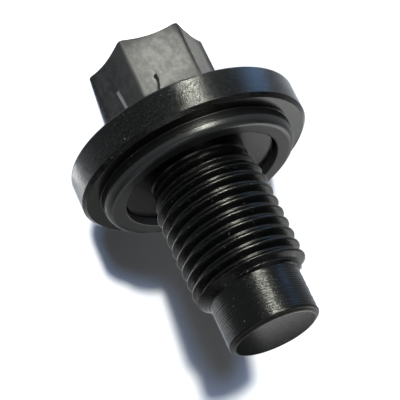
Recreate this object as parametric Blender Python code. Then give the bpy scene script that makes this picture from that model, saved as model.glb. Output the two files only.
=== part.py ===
"""Oil drain plug, M14 x 1.5, standing on its hexagon head with the tip up.

plug_body is one cold-headed steel piece: dished hexagon head, round flange with a raised boss
and a seal groove, rolled thread and plain pilot. seal_ring is the rubber ring held in the groove.
Lengths are metres. The origin is the middle of the plane that the six head corners stand on.
"""
import math

import bmesh
import bpy

MM = 0.001

# Hexagon head
HEX_ACROSS_FLATS = 13.0 * MM
HEX_CORNER_RADIUS = 0.9 * MM
HEAD_HEIGHT = 11.9 * MM
DISH_SLOPE = math.radians(28)
DISH_LAND = 0.3 * MM
DISH_FLOOR_RADIUS = 5.0 * MM
RIM_WIDTH = 0.15 * MM
HEAD_FILLET = 0.5 * MM

# Flange
FLANGE_DIAMETER = 29.0 * MM
FLANGE_THICKNESS = 4.15 * MM
FLANGE_EDGE_BREAK = 0.3 * MM
FLANGE_CHAMFER = 0.45 * MM

# Boss and seal groove on the flange's sealing side
BOSS_DIAMETER = 24.5 * MM
BOSS_HEIGHT = 1.0 * MM
BOSS_LIP = 0.3 * MM
GROOVE_WIDTH = 2.4 * MM
GROOVE_DEPTH = 1.6 * MM

# Seal ring
SEAL_SIDE_GAP = 0.25 * MM
SEAL_FLOOR_GAP = 0.3 * MM
SEAL_STAND_OUT = 1.0 * MM
SEAL_OUTER_ROUND = 0.4 * MM
SEAL_INNER_ROUND = 0.15 * MM

# Thread
THREAD_DIAMETER = 14.0 * MM
THREAD_PITCH = 1.5 * MM
THREAD_DEPTH = 0.92 * MM
THREAD_CREST_WIDTH = 0.24 * MM
THREAD_CREST_ROUND = 0.06 * MM
THREAD_ROOT_WIDTH = 0.4 * MM
THREAD_ROOT_ROUND = 0.05 * MM
THREAD_PHASE = 0.6
THREAD_START = 0.4 * MM
THREAD_END = 17.2 * MM
THREAD_END_SLOPE = math.radians(35)
THREAD_CLEAR = 0.05 * MM
SHANK_RELIEF = 0.2 * MM

# Pilot
PILOT_DIAMETER = 11.3 * MM
PILOT_END = 23.15 * MM
PILOT_CHAMFER = 0.4 * MM
PILOT_CHAMFER_WIDTH = 0.65 * MM

# Facets: columns round the axis, a multiple of six, and those that bend round a hexagon corner
COLUMNS = 48
CORNER_STEPS = 4
ROUND_STEPS = 3

FLANGE_BASE = HEAD_HEIGHT
FLANGE_FACE = FLANGE_BASE + FLANGE_THICKNESS
BOSS_FACE = FLANGE_FACE + BOSS_HEIGHT
BOSS_RADIUS = BOSS_DIAMETER / 2
GROOVE_OUTER = BOSS_RADIUS - BOSS_LIP
GROOVE_INNER = GROOVE_OUTER - GROOVE_WIDTH
GROOVE_FLOOR = BOSS_FACE - GROOVE_DEPTH
CREST_RADIUS = THREAD_DIAMETER / 2
ROOT_RADIUS = CREST_RADIUS - THREAD_DEPTH
PILOT_RADIUS = PILOT_DIAMETER / 2


def circle(radius, height):
    """One row of points: a circle about the axis."""
    turns = [2 * math.pi * step / COLUMNS for step in range(COLUMNS)]
    return [(radius * math.cos(turn), radius * math.sin(turn), height) for turn in turns]


def hexagon(offset, height_of):
    """One row of points: the hexagon with round corners, grown by offset.

    Each sixth of the row is a corner's arc and then the points along the flat after it.
    height_of gives a point's height from its distance to the axis.
    """
    middle = HEX_ACROSS_FLATS / math.sqrt(3) - HEX_CORNER_RADIUS / math.cos(math.pi / 6)
    radius = HEX_CORNER_RADIUS + offset
    flat_steps = COLUMNS // 6 - CORNER_STEPS
    outline = []
    for corner in range(6):
        facing = corner * math.pi / 3
        arc = []
        for step in range(CORNER_STEPS + 1):
            turn = facing + math.pi / 3 * (step / CORNER_STEPS - 0.5)
            arc.append((middle * math.cos(facing) + radius * math.cos(turn),
                        middle * math.sin(facing) + radius * math.sin(turn)))
        after = facing + math.pi / 3
        turn = after - math.pi / 6
        end = (middle * math.cos(after) + radius * math.cos(turn),
               middle * math.sin(after) + radius * math.sin(turn))
        outline += arc
        for step in range(1, flat_steps):
            part = step / flat_steps
            outline.append((arc[-1][0] + part * (end[0] - arc[-1][0]),
                            arc[-1][1] + part * (end[1] - arc[-1][1])))
    first = CORNER_STEPS // 2
    outline = outline[first:] + outline[:first]
    return [(x, y, height_of(math.hypot(x, y))) for x, y in outline]


def dish_height(distance):
    """Height of the dished top: flat at the six corners, then a cone that rises inwards."""
    corner = HEX_ACROSS_FLATS / math.sqrt(3) - HEX_CORNER_RADIUS * (1 / math.cos(math.pi / 6) - 1)
    return max(0, corner - DISH_LAND - distance) * math.tan(DISH_SLOPE)


def quarter_round(centre_radius, centre_height, size, start, end):
    """Rows along an arc of a turned profile, from one angle to another."""
    rows = []
    for step in range(ROUND_STEPS + 1):
        angle = start + (end - start) * step / ROUND_STEPS
        rows.append(circle(centre_radius + size * math.cos(angle),
                           centre_height + size * math.sin(angle)))
    return rows


def thread_features():
    """Corners of one pitch of the thread, as shares of the pitch and radii: crest, flank, root."""
    crest_edge = CREST_RADIUS - THREAD_CREST_ROUND
    root_edge = ROOT_RADIUS + THREAD_ROOT_ROUND
    crest_half = THREAD_CREST_WIDTH / 2 / THREAD_PITCH
    root_half = THREAD_ROOT_WIDTH / 2 / THREAD_PITCH
    return [(0, CREST_RADIUS), (crest_half, crest_edge), (0.5 - root_half, root_edge),
            (0.5, ROOT_RADIUS), (0.5 + root_half, root_edge), (1 - crest_half, crest_edge)]


def add_row(mesh, row):
    return [mesh.verts.new(point) for point in row]


def bridge(mesh, lower, upper):
    """Quads between two closed rows, whose normals point away from the axis as rows climb."""
    for column in range(len(lower)):
        after = (column + 1) % len(lower)
        mesh.faces.new((lower[column], lower[after], upper[after], upper[column]))


def add_thread(mesh, lower, start_height, end_height):
    """The helical thread from the circle row lower. Returns the circle row that ends it.

    Each column climbs through the thread's corners, which rise by one pitch a turn, so a column
    meets the next at corners of the same number. Corners near an end are left out, and one face
    with a point more takes up the step. The thread grows from its root at the start, and at its
    end a cone down to the pilot cuts it.
    """
    features = thread_features()
    count = len(features)
    upper = add_row(mesh, circle(PILOT_RADIUS, end_height))
    pitches = math.ceil((end_height - start_height) / THREAD_PITCH)
    columns = []
    for column in range(COLUMNS):
        turn = 2 * math.pi * column / COLUMNS
        corners = {}
        for number in range(-2 * count, (pitches + 1) * count):
            share, full_radius = features[number % count]
            turns = number // count + share + column / COLUMNS + THREAD_PHASE
            climbed = turns * THREAD_PITCH
            height = start_height + climbed
            if climbed < THREAD_CLEAR or height > end_height - THREAD_CLEAR:
                continue
            grown = ROOT_RADIUS + (full_radius - ROOT_RADIUS) * min(1, climbed / THREAD_START)
            cone = PILOT_RADIUS + (end_height - height) / math.tan(THREAD_END_SLOPE)
            radius = min(grown, cone)
            corners[number] = mesh.verts.new((radius * math.cos(turn), radius * math.sin(turn), height))
        columns.append(corners)
    columns.append({number - count: corner for number, corner in columns[0].items()})
    for column in range(COLUMNS):
        after = (column + 1) % COLUMNS
        here, there = columns[column], columns[column + 1]
        shared = [number for number in here if number in there]
        for number in shared[:-1]:
            mesh.faces.new((here[number], there[number], there[number + 1], here[number + 1]))
        first, last = shared[0], shared[-1]
        below = [there[number] for number in there if number <= first]
        above = [here[number] for number in reversed(here) if number > last]
        mesh.faces.new([lower[column], lower[after]] + below + [here[first]])
        mesh.faces.new([here[last], there[last], upper[after], upper[column]] + above)
    return upper


def plug_body_mesh():
    """The steel plug as rows from the dish in its head, up its outside, to the pilot's end."""
    mesh = bmesh.new()
    flange = FLANGE_DIAMETER / 2
    fillet_rows = []
    for step in range(ROUND_STEPS + 1):
        angle = math.pi / 2 * step / ROUND_STEPS
        grown = HEAD_FILLET * (1 - math.cos(angle))
        height = FLANGE_BASE - HEAD_FILLET * (1 - math.sin(angle))
        fillet_rows.append(hexagon(grown, lambda distance, level=height: level))
    profile = [circle(DISH_FLOOR_RADIUS, dish_height(DISH_FLOOR_RADIUS)),
               hexagon(-RIM_WIDTH, dish_height),
               hexagon(0, dish_height)]
    profile += fillet_rows
    profile += [circle(flange - FLANGE_EDGE_BREAK, FLANGE_BASE),
                circle(flange, FLANGE_BASE + FLANGE_EDGE_BREAK),
                circle(flange, FLANGE_FACE - FLANGE_CHAMFER),
                circle(flange - FLANGE_CHAMFER, FLANGE_FACE),
                circle(BOSS_RADIUS, FLANGE_FACE),
                circle(BOSS_RADIUS, BOSS_FACE),
                circle(GROOVE_OUTER, BOSS_FACE),
                circle(GROOVE_OUTER, GROOVE_FLOOR),
                circle(GROOVE_INNER, GROOVE_FLOOR),
                circle(GROOVE_INNER, BOSS_FACE),
                circle(ROOT_RADIUS + SHANK_RELIEF, BOSS_FACE),
                circle(ROOT_RADIUS, BOSS_FACE + SHANK_RELIEF)]
    rows = [add_row(mesh, row) for row in profile]
    for lower, upper in zip(rows, rows[1:]):
        bridge(mesh, lower, upper)
    mesh.faces.new(list(reversed(rows[0])))
    shoulder = add_thread(mesh, rows[-1], BOSS_FACE + SHANK_RELIEF, FLANGE_FACE + THREAD_END)
    tip = FLANGE_FACE + PILOT_END
    wall = add_row(mesh, circle(PILOT_RADIUS, tip - PILOT_CHAMFER))
    end = add_row(mesh, circle(PILOT_RADIUS - PILOT_CHAMFER_WIDTH, tip))
    bridge(mesh, shoulder, wall)
    bridge(mesh, wall, end)
    mesh.faces.new(end)
    return mesh


def seal_ring_mesh():
    """The rubber ring as a closed turned section: flat foot in the groove, round shoulders above."""
    mesh = bmesh.new()
    outer = GROOVE_OUTER - SEAL_SIDE_GAP
    inner = GROOVE_INNER + SEAL_SIDE_GAP
    foot = GROOVE_FLOOR + SEAL_FLOOR_GAP
    top = BOSS_FACE + SEAL_STAND_OUT
    profile = [circle(inner, foot), circle(outer, foot)]
    profile += quarter_round(outer - SEAL_OUTER_ROUND, top - SEAL_OUTER_ROUND,
                             SEAL_OUTER_ROUND, 0, math.pi / 2)
    profile += quarter_round(inner + SEAL_INNER_ROUND, top - SEAL_INNER_ROUND,
                             SEAL_INNER_ROUND, math.pi / 2, math.pi)
    rows = [add_row(mesh, row) for row in profile]
    for lower, upper in zip(rows, rows[1:] + rows[:1]):
        bridge(mesh, lower, upper)
    return mesh


def material(name, colour, roughness, metallic):
    finish = bpy.data.materials.new(name)
    finish.use_nodes = True
    shader = finish.node_tree.nodes["Principled BSDF"]
    shader.inputs["Base Color"].default_value = (*colour, 1)
    shader.inputs["Roughness"].default_value = roughness
    shader.inputs["Metallic"].default_value = metallic
    return finish


def add_piece(name, mesh, finish):
    """Turns a bmesh into a named object, smooth on round faces and sharp at edges."""
    data = bpy.data.meshes.new(name)
    mesh.to_mesh(data)
    mesh.free()
    data.materials.append(finish)
    data.shade_smooth()
    data.set_sharp_from_angle(angle=math.radians(25))
    piece = bpy.data.objects.new(name, data)
    bpy.context.scene.collection.objects.link(piece)
    return piece


def main():
    for old in list(bpy.data.objects):
        bpy.data.objects.remove(old)
    black_steel = material("black_oxide_steel", (0.035, 0.036, 0.038), 0.32, 0.85)
    black_rubber = material("black_rubber", (0.022, 0.022, 0.023), 0.55, 0.0)
    add_piece("plug_body", plug_body_mesh(), black_steel)
    add_piece("seal_ring", seal_ring_mesh(), black_rubber)


main()
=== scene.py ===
"""Oil drain plug on a pale table: the looks of the black steel plug and its rubber seal ring."""
import math

import bpy
import numpy as np
from mathutils import Matrix, Vector


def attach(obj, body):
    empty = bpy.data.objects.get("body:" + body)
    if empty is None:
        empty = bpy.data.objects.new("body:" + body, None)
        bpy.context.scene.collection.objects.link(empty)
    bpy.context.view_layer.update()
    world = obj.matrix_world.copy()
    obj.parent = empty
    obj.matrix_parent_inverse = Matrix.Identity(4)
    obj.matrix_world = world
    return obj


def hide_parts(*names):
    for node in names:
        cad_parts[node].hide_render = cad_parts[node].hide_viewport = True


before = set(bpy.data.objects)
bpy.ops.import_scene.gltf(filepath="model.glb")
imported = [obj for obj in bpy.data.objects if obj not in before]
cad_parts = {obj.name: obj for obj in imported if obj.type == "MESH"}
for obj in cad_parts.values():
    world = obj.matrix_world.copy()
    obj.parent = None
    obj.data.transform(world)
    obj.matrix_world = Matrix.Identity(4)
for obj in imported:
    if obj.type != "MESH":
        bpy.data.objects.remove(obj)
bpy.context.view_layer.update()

# The plug: one steel blank, headed cold to a dished hexagon and a flange, turned under the flange
# for the seal's groove, rolled with an M14 x 1.5 thread, and blackened all over.
MM = 0.001
COLUMNS = 240
TURN = 2 * np.pi * np.arange(COLUMNS) / COLUMNS


def rounded(corners, steps=5, hold=0.03 * MM):
    """A turned profile: (radius, height, rounding) corners joined by lines, each corner an arc.

    The arc starts and ends at rounding / tan(half the opening) from the corner, and its points
    blend those two with the corner by a quadratic curve. A row at the hold distance before and
    after it keeps the lines flat.
    """
    points = np.array([corner[:2] for corner in corners])
    sizes = np.array([corner[2] for corner in corners])
    rows = [points[:1]]
    share = np.linspace(0, 1, steps + 1)[:, None]
    for before, here, after, size in zip(points, points[1:], points[2:], sizes[1:]):
        if size == 0:
            rows.append(here[None])
            continue
        inward = (before - here) / np.linalg.norm(before - here)
        onward = (after - here) / np.linalg.norm(after - here)
        opening = np.arccos(np.clip(inward @ onward, -1, 1))
        reach = size / np.tan(opening / 2)
        start, end = here + inward * reach, here + onward * reach
        curve = (1 - share) ** 2 * start + 2 * share * (1 - share) * here + share ** 2 * end
        if hold:
            curve = np.concatenate([[start + inward * hold], curve, [end + onward * hold]])
        rows.append(curve)
    rows.append(points[-1:])
    return np.concatenate(rows)


def turned(profile):
    """Rows of points about the axis: (radius cos turn, radius sin turn, height) for each row."""
    radius, height = profile[:, :1], profile[:, 1:2]
    return np.stack([radius * np.cos(TURN), radius * np.sin(TURN),
                     np.broadcast_to(height, (len(profile), COLUMNS))], axis=-1)


HEX_ACROSS_FLATS = 13.0 * MM
HEX_CORNER_RADIUS = 0.45 * MM
HEAD_HEIGHT = 11.9 * MM
HEAD_FILLET = 0.5 * MM
DISH_SLOPE = math.radians(28)
DISH_LAND = 0.3 * MM
DISH_FLOOR_RADIUS = 5.0 * MM
DISH_FLOOR_RINGS = (0.02, 0.5, 0.97, 1.0)
DISH_CONE_RINGS = np.linspace(-0.9, -0.2, 5) * MM
RIM_ROUND = 0.14 * MM
ARC_ROWS = 7
FLAT_ROWS = 64
# A nick is given by the way its flat faces, its middle's place along the flat at its lower and
# upper ends, the heights of those ends, half its width, and its depth.
LIGHT_NICK = (math.radians(210), 0.14 * MM, -0.25 * MM, 4.6 * MM, 8.3 * MM, 0.34 * MM, 0.1 * MM)
DARK_NICK = (math.radians(150), 1.30 * MM, 1.85 * MM, 5.6 * MM, 8.2 * MM, 0.36 * MM, 0.16 * MM)


def hexagon_outline():
    """The round-cornered hexagon's points and outward normals, one for each column.

    A sixth of the columns bends round each corner and runs along the flat after it: a quarter of
    them step round the corner's arc by equal angles, and the rest along the flat by equal lengths.
    """
    sixth = COLUMNS // 6
    arc = sixth // 4
    step = np.arange(sixth)
    middle = HEX_ACROSS_FLATS / math.sqrt(3) - HEX_CORNER_RADIUS / math.cos(math.pi / 6)
    bend = np.clip(step / arc, 0, 1) * math.pi / 3 - math.pi / 6
    along = np.clip((step - arc) / (sixth - arc), 0, 1) * middle
    x = middle + HEX_CORNER_RADIUS * np.cos(bend) - along * math.sin(math.pi / 6)
    y = HEX_CORNER_RADIUS * np.sin(bend) + along * math.cos(math.pi / 6)
    corner = np.arange(6)[:, None] * math.pi / 3
    points = np.stack([x * np.cos(corner) - y * np.sin(corner),
                       x * np.sin(corner) + y * np.cos(corner)], axis=-1).reshape(-1, 2)
    facing = (corner + bend).reshape(-1)
    normals = np.stack([np.cos(facing), np.sin(facing)], axis=-1)
    half_arc = arc // 2
    return np.roll(points, -half_arc, axis=0), np.roll(normals, -half_arc, axis=0)


def dish_height(distance):
    """The dished top: flat at the corners, then a cone that rises inwards by its slope."""
    corner = HEX_ACROSS_FLATS / math.sqrt(3) - HEX_CORNER_RADIUS * (1 / math.cos(math.pi / 6) - 1)
    return np.maximum(0, corner - DISH_LAND - distance) * math.tan(DISH_SLOPE)


def nick_depth(outline, height):
    """How deep the nicks go in: on each, a parabola across a line that leans along its flat."""
    depth = np.zeros(len(outline))
    for facing, place_low, place_high, low, high, half_width, deepest in (LIGHT_NICK, DARK_NICK):
        along = outline[:, 1] * math.cos(facing) - outline[:, 0] * math.sin(facing)
        outward = outline[:, 0] * math.cos(facing) + outline[:, 1] * math.sin(facing)
        share = np.clip((height - low) / (high - low), 0, 1)
        across = (along - place_low - share * (place_high - place_low)) / half_width
        ends = np.clip(np.minimum(height - low, high - height) / half_width + 1, 0, 1)
        depth += np.where(outward > 0, deepest * ends * np.clip(1 - across ** 2, 0, 1), 0)
    return depth


def head_rows():
    """The head from the dish's floor, over the rim, up the flats and out by the fillet.

    Each row is the outline moved out by an offset along its normals, at its own height: over the
    rim the offset and the height follow a quarter circle, and at the flange they follow another.
    """
    outline, normals = hexagon_outline()
    rim = dish_height(np.linalg.norm(outline, axis=1) - RIM_ROUND)

    def row(offset, height):
        """The outline moved out by the offset, with its height for each column."""
        spread = outline + offset * normals
        return np.concatenate([spread, np.broadcast_to(height, (COLUMNS,))[:, None]], axis=1)[None]

    def dish_row(offset):
        """The outline moved by the offset, at the height of the dish's cone."""
        return row(offset, dish_height(np.linalg.norm(outline + offset * normals, axis=1)))

    rows = [turned(np.array([[DISH_FLOOR_RADIUS * share, dish_height(DISH_FLOOR_RADIUS)]
                             for share in DISH_FLOOR_RINGS]))]
    rows += [dish_row(offset) for offset in DISH_CONE_RINGS]
    for angle in np.linspace(0, np.pi / 2, ARC_ROWS):
        rows.append(row(-RIM_ROUND * (1 - math.sin(angle)), rim + RIM_ROUND * (1 - math.cos(angle))))
    side_end = HEAD_HEIGHT - HEAD_FILLET
    for share in np.linspace(0, 1, FLAT_ROWS)[1:]:
        height = rim + RIM_ROUND + share * (side_end - rim - RIM_ROUND)
        rows.append(row(-nick_depth(outline, height)[:, None], height))
    for angle in np.linspace(0, np.pi / 2, ARC_ROWS)[1:]:
        rows.append(row(HEAD_FILLET * (1 - math.cos(angle)),
                        side_end + HEAD_FILLET * math.sin(angle)))
    return np.concatenate(rows)


FLANGE_RADIUS = 14.5 * MM
FLANGE_FACE = HEAD_HEIGHT + 4.15 * MM
FLANGE_BACK = 5.0 * MM
FLANGE_CHAMFER = 0.45 * MM
FLANGE_EDGE_ROUND = 0.3 * MM
BOSS_RADIUS = 12.25 * MM
BOSS_FACE = FLANGE_FACE + 1.0 * MM
BOSS_FOOT_ROUND = 0.12 * MM
LIP_ROUND = 0.04 * MM
BROKEN_EDGE = 0.06 * MM
GROOVE_OUTER = BOSS_RADIUS - 0.3 * MM
GROOVE_INNER = GROOVE_OUTER - 2.4 * MM
GROOVE_FLOOR = BOSS_FACE - 1.6 * MM
RELIEF = 0.2 * MM


def flange_rows():
    """The flange, boss, groove and relief as a turned profile with each edge broken."""
    return turned(rounded([
        (FLANGE_RADIUS - FLANGE_BACK, HEAD_HEIGHT, 0),
        (FLANGE_RADIUS, HEAD_HEIGHT, FLANGE_EDGE_ROUND),
        (FLANGE_RADIUS, FLANGE_FACE - FLANGE_CHAMFER, BROKEN_EDGE),
        (FLANGE_RADIUS - FLANGE_CHAMFER, FLANGE_FACE, BROKEN_EDGE),
        (BOSS_RADIUS, FLANGE_FACE, BOSS_FOOT_ROUND),
        (BOSS_RADIUS, BOSS_FACE, LIP_ROUND),
        (GROOVE_OUTER, BOSS_FACE, BROKEN_EDGE),
        (GROOVE_OUTER, GROOVE_FLOOR, BROKEN_EDGE),
        (GROOVE_INNER, GROOVE_FLOOR, BROKEN_EDGE),
        (GROOVE_INNER, BOSS_FACE, BROKEN_EDGE),
        (ROOT_RADIUS + RELIEF, BOSS_FACE, 0),
        (ROOT_RADIUS, THREAD_START, 0)]))


THREAD_PITCH = 1.5 * MM
THREAD_PHASE = 0.6
THREAD_START = BOSS_FACE + RELIEF
THREAD_END = FLANGE_FACE + 17.2 * MM
THREAD_END_SLOPE = math.radians(35)
THREAD_RUN_IN = 3.4 * MM
CREST_RADIUS = 7.0 * MM
CREST_HALF_WIDTH = 0.15 * MM
CREST_ROUND = 0.225 * MM
ROOT_RADIUS = CREST_RADIUS - 0.92 * MM
ROOT_FROM = 0.56 * MM
ROOT_ROUND = 0.14 * MM


def thread_section():
    """One pitch of the thread, as shares of the pitch and radii.

    The crest and the root are rounded and the flanks between them are straight.
    """
    flank = rounded([(0, CREST_RADIUS, 0), (CREST_HALF_WIDTH, CREST_RADIUS, CREST_ROUND),
                     (ROOT_FROM, ROOT_RADIUS, ROOT_ROUND), (THREAD_PITCH / 2, ROOT_RADIUS, 0)],
                    steps=3, hold=0)
    places = np.concatenate([flank[:, 0], THREAD_PITCH - flank[-2:0:-1, 0]]) / THREAD_PITCH
    radii = np.concatenate([flank[:, 1], flank[-2:0:-1, 1]])
    return places, radii


def thread_grid():
    """Heights and radii of the helix, rows along it: height = start + pitch * (turns climbed).

    The radius grows from the root by the boss, and a cone down to the pilot cuts it at its end.
    """
    places, radii = thread_section()
    count = len(places)
    pitches = math.ceil((THREAD_END - THREAD_START) / THREAD_PITCH) + 1
    number = np.arange(-2 * count, pitches * count)[:, None]
    turns = number // count + places[number % count] + TURN / (2 * np.pi) + THREAD_PHASE
    climbed = turns * THREAD_PITCH
    height = THREAD_START + climbed
    grown = ROOT_RADIUS + (radii[number % count] - ROOT_RADIUS) * np.clip(climbed / THREAD_RUN_IN, 0, 1)
    cone = PILOT_RADIUS + (THREAD_END - height) / math.tan(THREAD_END_SLOPE)
    return height, np.minimum(grown, cone), count


PILOT_RADIUS = 5.65 * MM
PILOT_END = FLANGE_FACE + 23.15 * MM
PILOT_CHAMFER = 0.4 * MM
PILOT_CHAMFER_WIDTH = 0.65 * MM
PILOT_SHOULDER_ROUND = 0.35 * MM
PILOT_TIP_ROUND = 0.3 * MM
PILOT_HOLD_ROWS = (0.03 * MM, 0.1 * MM)
PILOT_FACE_RINGS = (2.5 * MM, 0.1 * MM)


def pilot_rows():
    """The pilot's wall, chamfer and end face, from the thread's end to the axis.

    Two rows close to the thread's end hold the wall straight there.
    """
    return turned(rounded([
        (PILOT_RADIUS, THREAD_END, 0),
        (PILOT_RADIUS, THREAD_END + PILOT_HOLD_ROWS[0], 0),
        (PILOT_RADIUS, THREAD_END + PILOT_HOLD_ROWS[1], 0),
        (PILOT_RADIUS, PILOT_END - PILOT_CHAMFER, PILOT_SHOULDER_ROUND),
        (PILOT_RADIUS - PILOT_CHAMFER_WIDTH, PILOT_END, PILOT_TIP_ROUND),
        (PILOT_FACE_RINGS[0], PILOT_END, 0),
        (PILOT_FACE_RINGS[1], PILOT_END, 0)]))


def quads(grid, shift=0):
    """Faces between a grid's rows, whose last column meets the first one shift rows on."""
    wrapped = np.concatenate([grid[:len(grid) - shift], grid[shift:, :1]], axis=1)
    low, high = wrapped[:-1], wrapped[1:]
    return np.stack([low[:, :-1], low[:, 1:], high[:, 1:], high[:, :-1]], axis=-1).reshape(-1, 4)


def joined_body():
    """The whole plug as one closed surface: its points, its faces, and the rings that caps close.

    Turned rows join by quads. On the thread, a row's last column meets the first column one pitch
    on, and points past either end are drawn together on the ring that closes it there.
    """
    below = np.concatenate([head_rows(), flange_rows()])
    above = pilot_rows()
    height, radius, count = thread_grid()
    clear = 0.02 * MM
    inside = (height > THREAD_START + clear) & (height < THREAD_END - clear)
    helix = np.stack([radius * np.cos(TURN), radius * np.sin(TURN), height], axis=-1)

    first_above = below.shape[0] * COLUMNS
    first_helix = first_above + above.shape[0] * COLUMNS
    below_grid = np.arange(first_above).reshape(-1, COLUMNS)
    above_grid = np.arange(first_above, first_helix).reshape(-1, COLUMNS)
    helix_grid = np.where(height <= THREAD_START + clear, below_grid[-1], above_grid[0])
    helix_grid[inside] = first_helix + np.arange(inside.sum())

    faces = np.concatenate([quads(below_grid), quads(helix_grid, count), quads(above_grid)])
    points = np.concatenate([below.reshape(-1, 3), above.reshape(-1, 3), helix[inside]])
    return points, faces, below_grid[0], above_grid[-1]


def surface(name, points, faces, caps, finish):
    """A smooth mesh object from points, quads and caps.

    Quads drawn to a line or a point are left out, and those drawn to a triangle become one. Edges
    that turn by more than 40 degrees stay sharp.
    """
    same = faces == np.roll(faces, 1, axis=1)
    repeats = same.sum(axis=1)
    threes = faces[repeats == 1][~same[repeats == 1]].reshape(-1, 3)
    groups = [faces[repeats == 0], threes] + [np.array(cap)[None] for cap in caps]
    loops = np.concatenate([group.reshape(-1) for group in groups])
    lengths = np.concatenate([np.full(len(group), group.shape[1]) for group in groups])
    starts = np.concatenate([[0], np.cumsum(lengths)[:-1]])
    data = bpy.data.meshes.new(name)
    data.vertices.add(len(points))
    data.vertices.foreach_set("co", points.astype(np.float32).reshape(-1))
    data.loops.add(len(loops))
    data.loops.foreach_set("vertex_index", loops.astype(np.int32))
    data.polygons.add(len(lengths))
    data.polygons.foreach_set("loop_start", starts.astype(np.int32))
    data.polygons.foreach_set("loop_total", lengths.astype(np.int32))
    data.update(calc_edges=True)
    data.validate()
    data.shade_smooth()
    data.set_sharp_from_angle(angle=math.radians(40))
    data.materials.append(finish.material)
    piece = bpy.data.objects.new(name, data)
    bpy.context.scene.collection.objects.link(piece)
    return piece


class Value:
    """A number socket of a finish. Each operator used on it adds the Math node that works it out."""

    def __init__(self, finish, socket):
        self.finish, self.socket = finish, socket

    def __add__(self, other):
        return self.finish.math("ADD", self, other)

    def __radd__(self, other):
        return self.finish.math("ADD", other, self)

    def __sub__(self, other):
        return self.finish.math("SUBTRACT", self, other)

    def __rsub__(self, other):
        return self.finish.math("SUBTRACT", other, self)

    def __mul__(self, other):
        return self.finish.math("MULTIPLY", self, other)

    def __rmul__(self, other):
        return self.finish.math("MULTIPLY", other, self)

    def __gt__(self, other):
        return self.finish.math("GREATER_THAN", self, other)

    def __lt__(self, other):
        return self.finish.math("LESS_THAN", self, other)


class Finish:
    """A material's node tree, with its Principled shader's constants set by their sockets' names."""

    def __init__(self, name, constants):
        self.material = bpy.data.materials.new(name)
        self.material.use_nodes = True
        self.tree = self.material.node_tree
        self.shader = self.tree.nodes["Principled BSDF"]
        for socket, value in constants.items():
            self.drive(socket, value)
        self.place = self.node("ShaderNodeTexCoord").outputs["Object"]
        split = self.node("ShaderNodeSeparateXYZ", sockets={"Vector": self.place})
        self.x, self.y, self.z = [Value(self, output) for output in split.outputs]

    def plug_in(self, socket, source):
        """Links a socket to a Value or another socket, or sets it to a number, colour or vector."""
        if isinstance(source, Value):
            source = source.socket
        if isinstance(source, bpy.types.NodeSocket):
            self.tree.links.new(source, socket)
        else:
            socket.default_value = source

    def node(self, kind, settings=None, sockets=None):
        """A node of a type: its settings are set first, then the values or links of its sockets."""
        made = self.tree.nodes.new(kind)
        for key, value in (settings or {}).items():
            setattr(made, key, value)
        for key, value in (sockets or {}).items():
            self.plug_in(made.inputs[key], value)
        return made

    def math(self, operation, *terms):
        """The result of a Math node's operation on its terms."""
        made = self.node("ShaderNodeMath", {"operation": operation}, dict(enumerate(terms)))
        return Value(self, made.outputs[0])

    def noise(self, cell, detail=0.0, rough=0.5, place=None):
        """Smooth noise about 0.5, whose cells are about as wide as the size given, in metres."""
        made = self.node("ShaderNodeTexNoise", sockets={
            "Vector": place or self.place, "Scale": 1 / cell, "Detail": detail, "Roughness": rough})
        return Value(self, made.outputs["Fac"])

    def ramp(self, value, nothing, full):
        """0 where the value is at one limit, 1 at the other, and a smooth step between them."""
        made = self.node("ShaderNodeMapRange", {"interpolation_type": "SMOOTHSTEP"}, {
            "Value": value, "From Min": nothing, "From Max": full})
        return Value(self, made.outputs["Result"])

    def mix(self, share, first, second):
        """The first colour turned towards the second by a share, which is a Mix node's socket 0."""
        made = self.node("ShaderNodeMix", {"data_type": "RGBA"}, {0: share, 6: first, 7: second})
        return made.outputs[2]

    def drive(self, socket, source):
        """Gives one of the shader's sockets, by its name, its number, colour or link."""
        self.plug_in(self.shader.inputs[socket], source)

    def bump(self, height, depth):
        """Bumps the surface by the depth for each unit of height."""
        made = self.node("ShaderNodeBump", sockets={"Height": height, "Distance": depth})
        self.drive("Normal", made.outputs["Normal"])


BLACK_GLOSS = {"IOR": 1.5, "Specular IOR Level": 0.2, "Specular Tint": (0.97, 1.0, 0.95, 1)}
GLOSSY_BLACK = (0.0006, 0.0007, 0.0006, 1)
HEAD_BLACK = (0.0048, 0.0049, 0.0048, 1)
HEAD_GREY = (0.015, 0.0151, 0.0144, 1)
# Painted shade on the head's rounded corners.
CORNER_SHADE_BLACK = (0.0012, 0.0012, 0.0012, 1)
# Painted highlight along one corner of the head.
CORNER_HIGHLIGHT_GREY = (0.018, 0.0181, 0.0174, 1)
# Painted highlight along the light nick.
NICK_HIGHLIGHT_GREY = (0.06, 0.06, 0.057, 1)
# Painted shade in the dark nick.
NICK_SHADE_BLACK = (0.0005, 0.0005, 0.0005, 1)
DUST_GREY = (0.12, 0.12, 0.1, 1)
HEAD_FADE = 0.4 * MM
FLANGE_FADE = 0.3 * MM
BOSS_WALL_FROM = FLANGE_FACE + 0.04 * MM
THREAD_SKIN_FROM = BOSS_FACE + 0.3 * MM
PILOT_SKIN_FROM = THREAD_END - 0.3 * MM
TIP_FROM, TIP_TO = PILOT_END - 0.5 * MM, PILOT_END - 0.01 * MM
CORNER_FROM, CORNER_TO = 7.2 * MM, 7.42 * MM
# Corners beyond this x get the painted highlight.
LIT_CORNER_SIDE = -6.0 * MM
NICK_WAVE = 0.7 * MM
NICK_STRAY = 0.9 * MM
NICK_FULL = 0.55
NICK_OUTSIDE, NICK_INSIDE = 0.1 * MM, 0.25 * MM
STEEL_ROUGHNESS = 0.2
HEAD_ROUGHNESS = 0.32
LINE_SPACING = 0.3 * MM
LINE_DRIFT = 9.0
SKIN_DEPTH = 0.02 * MM


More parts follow.
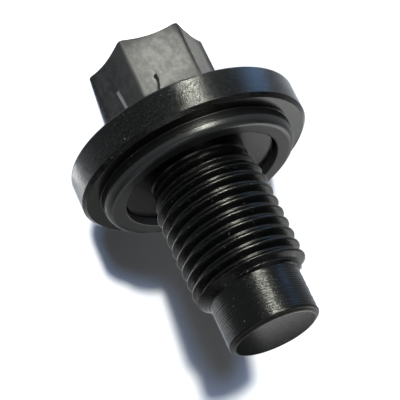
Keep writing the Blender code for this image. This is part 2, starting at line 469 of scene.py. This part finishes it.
def nick_line(steel, nick, stray=0.0):
    """Where a nick's bottom is: a line that leans along its flat, and strays to its sides by noise.

    It is 1 within a share of the nick's half width, and fades out towards its edges and its ends.
    """
    facing, place_low, place_high, low, high, half_width, _ = nick
    along = steel.y * math.cos(facing) - steel.x * math.sin(facing)
    outward = steel.x * math.cos(facing) + steel.y * math.sin(facing)
    lean = (place_high - place_low) / (high - low)
    strayed = (steel.noise(NICK_WAVE) - 0.5) * stray
    across = steel.math("ABSOLUTE", along - place_low - (steel.z - low) * lean + strayed)
    on_flat = outward > HEX_ACROSS_FLATS / 2 - 0.5 * MM
    line = steel.ramp(across, nothing=half_width, full=half_width * NICK_FULL) * on_flat
    line = line * steel.ramp(steel.z, nothing=low - NICK_OUTSIDE, full=low + NICK_INSIDE)
    return line * steel.ramp(steel.z, nothing=high + NICK_OUTSIDE, full=high - NICK_INSIDE)


def black_steel():
    """Blackened steel, told apart by height and by distance from the axis.

    The head is dull and mottled by two noises, with its corners darker as painted shade, one corner
    lighter as a painted highlight, and the two nicks, the light one with a painted highlight and the
    dark one with painted shade. The rest is glossy, with grains of dust: its skin is rough by noise on
    the flange and the thread, and lined by a sine of the height, which noise bends, mostly on the pilot.
    """
    steel = Finish("black_oxide_steel", BLACK_GLOSS)
    radius = steel.math("SQRT", steel.x * steel.x + steel.y * steel.y)
    head = steel.ramp(steel.z, nothing=HEAD_HEIGHT, full=HEAD_HEIGHT - HEAD_FADE)
    flange = steel.ramp(steel.z, nothing=HEAD_HEIGHT, full=HEAD_HEIGHT + FLANGE_FADE)
    flange = flange * (steel.z < FLANGE_FACE)
    boss_wall = (steel.z > BOSS_WALL_FROM) * (steel.z < BOSS_FACE) * (radius > GROOVE_OUTER)
    pilot = steel.z > PILOT_SKIN_FROM
    thread = (steel.z > THREAD_SKIN_FROM) * (1 - pilot)
    side = pilot * (steel.z < PILOT_END)
    tip = (steel.z > TIP_FROM) * (steel.z < TIP_TO)

    mottle = steel.noise(1.1 * MM, detail=3.0, rough=0.6)
    blotch = steel.noise(0.6 * MM, detail=3.0, rough=0.7)
    patches = steel.ramp(mottle * 0.5 + blotch * 0.5, nothing=0.4, full=0.62)
    corner = head * steel.ramp(radius, nothing=CORNER_FROM, full=CORNER_TO)
    # The dark nick gets painted shade in its colour and less roughness.
    sunk = nick_line(steel, DARK_NICK, NICK_STRAY)
    head_tone_and_painted_light = steel.mix(patches, HEAD_BLACK, HEAD_GREY)
    # Painted light on the head: shade on the corners and in the dark nick, highlights on one corner and along
    # the light nick.
    head_tone_and_painted_light = steel.mix(corner * 0.85, head_tone_and_painted_light, CORNER_SHADE_BLACK)
    head_tone_and_painted_light = steel.mix(corner * (steel.x < LIT_CORNER_SIDE) * 0.6, head_tone_and_painted_light, CORNER_HIGHLIGHT_GREY)
    head_tone_and_painted_light = steel.mix(nick_line(steel, LIGHT_NICK), head_tone_and_painted_light, NICK_HIGHLIGHT_GREY)
    head_tone_and_painted_light = steel.mix(sunk, head_tone_and_painted_light, NICK_SHADE_BLACK)
    dust = steel.ramp(steel.noise(0.16 * MM), nothing=0.82, full=0.87) * (1 - head)
    steel.drive("Base Color", steel.mix(dust, steel.mix(head, GLOSSY_BLACK, head_tone_and_painted_light), DUST_GREY))

    grain = steel.noise(0.2 * MM)
    roughness = STEEL_ROUGHNESS + 0.08 * grain - 0.1 * flange - 0.05 * pilot + 0.15 * boss_wall
    roughness = roughness + 0.12 * tip + head * (HEAD_ROUGHNESS + 0.1 * patches) - 0.4 * sunk
    steel.drive("Roughness", roughness)

    speckle = steel.noise(0.12 * MM)
    pits = steel.ramp(steel.noise(0.14 * MM), nothing=0.6, full=0.72)
    round_lines = steel.node("ShaderNodeMapping", sockets={
        "Vector": steel.place, "Scale": (0.03, 0.03, 1.0)}).outputs["Vector"]
    drift = steel.noise(0.5 * MM, detail=2.0, rough=0.6, place=round_lines) * LINE_DRIFT
    lines = steel.math("SINE", steel.z * (2 * math.pi / LINE_SPACING) + drift)
    skin = (grain * 0.8 + speckle * 1.8) * (0.12 + 0.62 * flange + 0.5 * side + 0.55 * thread)
    skin = skin - pits * (flange * 1.2 + side * 0.35 + thread * 0.4) + head * mottle
    steel.bump(skin + lines * (side * 0.42 + flange * 0.12), SKIN_DEPTH)
    return steel


points, faces, dish_cap, pilot_cap = joined_body()
plug = surface("steel_plug", points, faces, [dish_cap[::-1], pilot_cap], black_steel())
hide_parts("plug_body")
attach(plug, "root")

# The seal ring: a moulded black rubber ring pressed into the groove, standing proud of the boss
# with a soft outer shoulder and a crisper inner edge.
SEAL_OUTER = GROOVE_OUTER - 0.25 * MM
SEAL_INNER = GROOVE_INNER + 0.25 * MM
SEAL_MIDDLE = (SEAL_INNER + SEAL_OUTER) / 2
SEAL_SHOULDER_RADIUS = SEAL_OUTER + 0.2 * MM
SEAL_FOOT = GROOVE_FLOOR + 0.3 * MM
SEAL_TOP = BOSS_FACE + 1.0 * MM
SEAL_FALL = 0.05 * MM
SEAL_LIP_HEIGHT = BOSS_FACE + 0.03 * MM
SEAL_LIP_RADIUS = BOSS_RADIUS + 0.02 * MM
SEAL_FOOT_ROUND = 0.2 * MM
SEAL_STEP_ROUND = 0.03 * MM
SEAL_LIP_ROUND = 0.04 * MM
SEAL_SHOULDER_ROUND = 0.9 * MM
SEAL_EDGE_ROUND = 0.12 * MM
RUBBER_BLACK = (0.006, 0.0062, 0.006, 1)
RUBBER_GREY = (0.009, 0.009, 0.009, 1)
RUBBER_ROUGHNESS = 0.27
RUBBER_GRAIN_DEPTH = 0.012 * MM


def seal_points():
    """The ring's section carried round the axis.

    It has a flat foot, an outer wall that steps out over the boss's lip, a rounded shoulder, a face
    that falls a little inwards, and a straight inner wall.
    """
    section = rounded([
        (SEAL_MIDDLE, SEAL_FOOT, 0),
        (SEAL_OUTER, SEAL_FOOT, SEAL_FOOT_ROUND),
        (SEAL_OUTER, SEAL_LIP_HEIGHT, SEAL_STEP_ROUND),
        (SEAL_LIP_RADIUS, SEAL_LIP_HEIGHT, SEAL_LIP_ROUND),
        (SEAL_SHOULDER_RADIUS, SEAL_TOP, SEAL_SHOULDER_ROUND),
        (SEAL_INNER, SEAL_TOP - SEAL_FALL, SEAL_EDGE_ROUND),
        (SEAL_INNER, SEAL_FOOT, SEAL_FOOT_ROUND),
        (SEAL_MIDDLE, SEAL_FOOT, 0)], steps=6)
    return turned(section[:-1])


def black_rubber():
    """Black rubber: clouded in tone and gloss by a wide noise, and grained by a fine one."""
    rubber = Finish("black_rubber", BLACK_GLOSS)
    cloud = rubber.noise(2.5 * MM, detail=3.0, rough=0.6)
    rubber.drive("Base Color", rubber.mix(cloud, RUBBER_BLACK, RUBBER_GREY))
    rubber.drive("Roughness", RUBBER_ROUGHNESS + 0.1 * cloud)
    rubber.bump(rubber.noise(0.2 * MM), RUBBER_GRAIN_DEPTH)
    return rubber


ring = seal_points().reshape(-1, 3)
ring_grid = np.arange(len(ring)).reshape(-1, COLUMNS)
ring_faces = quads(np.concatenate([ring_grid, ring_grid[:1]]))
seal = surface("rubber_seal_ring", ring, ring_faces, [], black_rubber())
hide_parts("seal_ring")
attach(seal, "root")

# The camera: a long lens in the photograph's direction, rolled to give the picture its tilt. Its
# place, aim and roll were fitted to the outlines of the flange, the thread and the head.
CAMERA_AZIMUTH = 164.60
CAMERA_ELEVATION = 23.10
CAMERA_ROLL = math.radians(154.65)
CAMERA_DISTANCE = 190.1 * MM
CAMERA_AIM = Vector((-0.35, -1.27, 20.15)) * MM
CAMERA_SENSOR, CAMERA_LENS = 36, 144
CAMERA_NEAREST = 5 * MM


def direction(azimuth, elevation):
    """The way out at an azimuth about the plug's axis and an elevation over the table, in degrees.

    It is (cos elevation cos azimuth, cos elevation sin azimuth, sin elevation).
    """
    turn, rise = math.radians(azimuth), math.radians(elevation)
    return Vector((math.cos(rise) * math.cos(turn), math.cos(rise) * math.sin(turn), math.sin(rise)))


def looking_back(outward, distance, aim=Vector((0, 0, 0))):
    """Where a camera or lamp stands at a distance from the aim, turned to face it."""
    return Matrix.Translation(aim + outward * distance) @ outward.to_track_quat("Z", "Y").to_matrix().to_4x4()


camera = bpy.data.objects.new("camera", bpy.data.cameras.new("camera"))
camera.data.sensor_width = CAMERA_SENSOR
camera.data.lens = CAMERA_LENS
camera.data.clip_start = CAMERA_NEAREST
camera.matrix_world = (looking_back(direction(CAMERA_AZIMUTH, CAMERA_ELEVATION), CAMERA_DISTANCE, CAMERA_AIM)
                       @ Matrix.Rotation(CAMERA_ROLL, 4, "Z"))
bpy.context.scene.collection.objects.link(camera)
bpy.context.scene.camera = camera

# The table: a plain white board, three metres square, which the plug stands on with its head. It
# has matt paint and takes the plug's shadow.
TABLE_HALF = 1.5
TABLE_WHITE = (0.88, 0.88, 0.88, 1)


def backing(name, points, faces, finish):
    """A flat-sided sheet that stands behind or under the plug, from its points and quads."""
    data = bpy.data.meshes.new(name)
    data.from_pydata(points.tolist(), [], faces.tolist())
    data.materials.append(finish.material)
    sheet = bpy.data.objects.new(name, data)
    bpy.context.scene.collection.objects.link(sheet)
    return sheet


table_corners = TABLE_HALF * np.array([(-1, -1, 0), (1, -1, 0), (1, 1, 0), (-1, 1, 0)])
table = backing("table", table_corners, np.array([(0, 1, 2, 3)]),
                Finish("white_table", {"Base Color": TABLE_WHITE, "Roughness": 0.9}))

# The screen: white cloth in a ring that stands on the table, bright all over, for views from low
# down. It throws no light on the table. The part of it straight behind the plug isn't mirrored in
# the steel, so that the pilot's end can show the lamps there, from light to dark.
SCREEN_RADIUS = 1.4
SCREEN_HEIGHT = 0.75
SCREEN_SIDES = 96
SCREEN_GAP = math.radians(13)
around = 2 * np.pi * np.arange(SCREEN_SIDES) / SCREEN_SIDES
screen_foot = SCREEN_RADIUS * np.stack([np.cos(around), np.sin(around), 0 * around], axis=-1)
screen_points = np.concatenate([screen_foot, screen_foot + (0, 0, SCREEN_HEIGHT)])
here = np.arange(SCREEN_SIDES)
onward = (here + 1) % SCREEN_SIDES
screen_faces = np.stack([onward, here, here + SCREEN_SIDES, onward + SCREEN_SIDES], axis=-1)
off_camera = around + np.pi / SCREEN_SIDES - math.radians(CAMERA_AZIMUTH)
behind = np.cos(off_camera) < -math.cos(SCREEN_GAP)
glow = Finish("white_screen", {
    "Base Color": (0, 0, 0, 1), "Emission Color": (1, 1, 1, 1), "Emission Strength": 1.0})
glow.material.cycles.emission_sampling = "NONE"
for name, part in [("screen", screen_faces[~behind]), ("screen_behind", screen_faces[behind])]:
    screen = backing(name, screen_points, part, glow)
    screen.visible_diffuse = False
    screen.visible_shadow = False
    screen.visible_glossy = name == "screen"

# The lights: a low white sun and a wider blue one, which draw the shadow and its blue edge, a small
# lamp for the head, and soft lamps that show only in the gloss of the black steel: panels round and
# above the plug, and strips that lie on the table. Azimuths are turned from the camera's.
SUN_AZIMUTH = -5.0
SUN_ELEVATION = 15.0
SUN_WHITE = (1.0, 0.97, 0.87)
SKY_BLUE = (0.45, 0.62, 1.0)
WARM_WHITE = (1.0, 0.98, 0.92)
HEAD_WHITE = (1.0, 0.99, 0.95)
STRIP_BLUE = (0.3, 0.55, 1.0)
STRIP_HEIGHT = 0.5 * MM
STRIP_EXTRA_WIDTH = 2.5 * MM


def low_sun(name, angle, energy, colour):
    """A far light, a little to the camera's right and low, that draws the plug's long shadow."""
    lamp = bpy.data.lights.new(name, "SUN")
    lamp.energy, lamp.angle, lamp.color = energy, math.radians(angle), colour
    light = bpy.data.objects.new(name, lamp)
    light.matrix_world = looking_back(direction(CAMERA_AZIMUTH + SUN_AZIMUTH, SUN_ELEVATION), 0)
    bpy.context.scene.collection.objects.link(light)
    light.visible_glossy = False


def panel(name, azimuth, elevation, distance, size, power, colour=(1, 1, 1), aim=(0, 0, 0)):
    """A square soft lamp that faces the plug's foot or the aim, seen only in the plug's gloss."""
    lamp = bpy.data.lights.new(name, "AREA")
    lamp.size, lamp.energy, lamp.color = size, power, colour
    light = bpy.data.objects.new(name, lamp)
    outward = direction(CAMERA_AZIMUTH + azimuth, elevation)
    light.matrix_world = looking_back(outward, distance, Vector(aim))
    bpy.context.scene.collection.objects.link(light)
    light.visible_camera = False
    light.visible_diffuse = False
    return light


def floor_strip(name, azimuth, spread, rows, colour=(1, 1, 1)):
    """Low lamps on the table in a row out from the plug, seen only in its gloss.

    A row's numbers are how far out it starts and ends, in millimetres, and its brightness. Each
    lamp is wider than the one before it, so that from the plug they fill one angle, the spread.
    """
    turn = CAMERA_AZIMUTH + azimuth
    for near_mm, far_mm, brightness in rows:
        length, middle = (far_mm - near_mm) * MM, (near_mm + far_mm) / 2 * MM
        width = STRIP_EXTRA_WIDTH + middle * math.radians(spread)
        lamp = bpy.data.lights.new(name, "AREA")
        lamp.shape, lamp.size, lamp.size_y = "RECTANGLE", length, width
        lamp.energy, lamp.color = brightness * math.pi * length * width, colour
        light = bpy.data.objects.new(name, lamp)
        light.matrix_world = (Matrix.Translation(direction(turn, 0) * middle + Vector((0, 0, STRIP_HEIGHT)))
                              @ Matrix.Rotation(math.radians(turn), 4, "Z")
                              @ Matrix.Rotation(math.pi, 4, "X"))
        bpy.context.scene.collection.objects.link(light)
        light.visible_camera = False
        light.visible_diffuse = False


low_sun("key_sun", angle=1.3, energy=11.6, colour=SUN_WHITE)
low_sun("sky_glow", angle=5.0, energy=6.0, colour=SKY_BLUE)
for spark_height, power in [(3, 6.0), (11.5, 7.0), (20, 12.0)]:
    panel("spark_panel", -27, spark_height, distance=0.9, size=0.14, power=power, colour=WARM_WHITE)
for far_azimuth, power in [(-162, 5.5), (162, 1.3)]:
    panel("far_panel", far_azimuth, 36, distance=1.2, size=0.55, power=power)
panel("end_lamp", -170, 63, distance=0.0617, size=0.016, power=0.0016)
# The camera sees the table mirrored in the flange's rim about 47 mm out, in the thread 54 to 82 mm
# out, and in the pilot 87 to 99 mm out.
floor_strip("white_strip", -22, 3.5, [
    (26, 42, 75.0), (42, 54, 90.0), (54, 86, 135.0), (86, 110, 103.0), (110, 178, 97.0)], WARM_WHITE)
floor_strip("blue_strip", -78, 18, [
    (26, 42, 6.2), (42, 54, 8.0), (86, 110, 8.7), (110, 178, 8.0)], STRIP_BLUE)
floor_strip("left_strip", 113, 9, [(26, 42, 5.0), (84, 110, 3.8), (110, 178, 3.0)])
floor_strip("left_wash", 120, 36, [(42, 84, 3.0)])
floor_strip("back_strip", -172, 9, [
    (26, 42, 8.0), (42, 68, 10.4), (68, 110, 11.2), (110, 178, 10.4)])
for side_azimuth, power in [(0, 2.5), (90, 1.5), (-90, 1.5), (180, 2.0)]:
    panel("upper_panel", side_azimuth, 62, distance=1.0, size=0.4, power=power)
head_light = panel("head_light", -34, 6, distance=0.1, size=0.011, power=0.0125,
                   colour=HEAD_WHITE, aim=(0, 0, 5.5 * MM))
head_light.data.spread = math.radians(2)
head_light.visible_diffuse = True
head_light.visible_glossy = False

# The room: dim walls that send a faint and slightly blue light from every side. The picture is
# shown with a gamma below 1, which gives it the photograph's deep blacks.
ROOM_BLUE = (0.8, 0.9, 1.0, 1)
ROOM_STRENGTH = 0.033
PICTURE_GAMMA = 0.8
room = bpy.data.worlds.new("studio")
room.use_nodes = True
room.node_tree.nodes["Background"].inputs["Color"].default_value = ROOM_BLUE
room.node_tree.nodes["Background"].inputs["Strength"].default_value = ROOM_STRENGTH
bpy.context.scene.world = room
bpy.context.scene.view_settings.view_transform = "Standard"
bpy.context.scene.view_settings.gamma = PICTURE_GAMMA
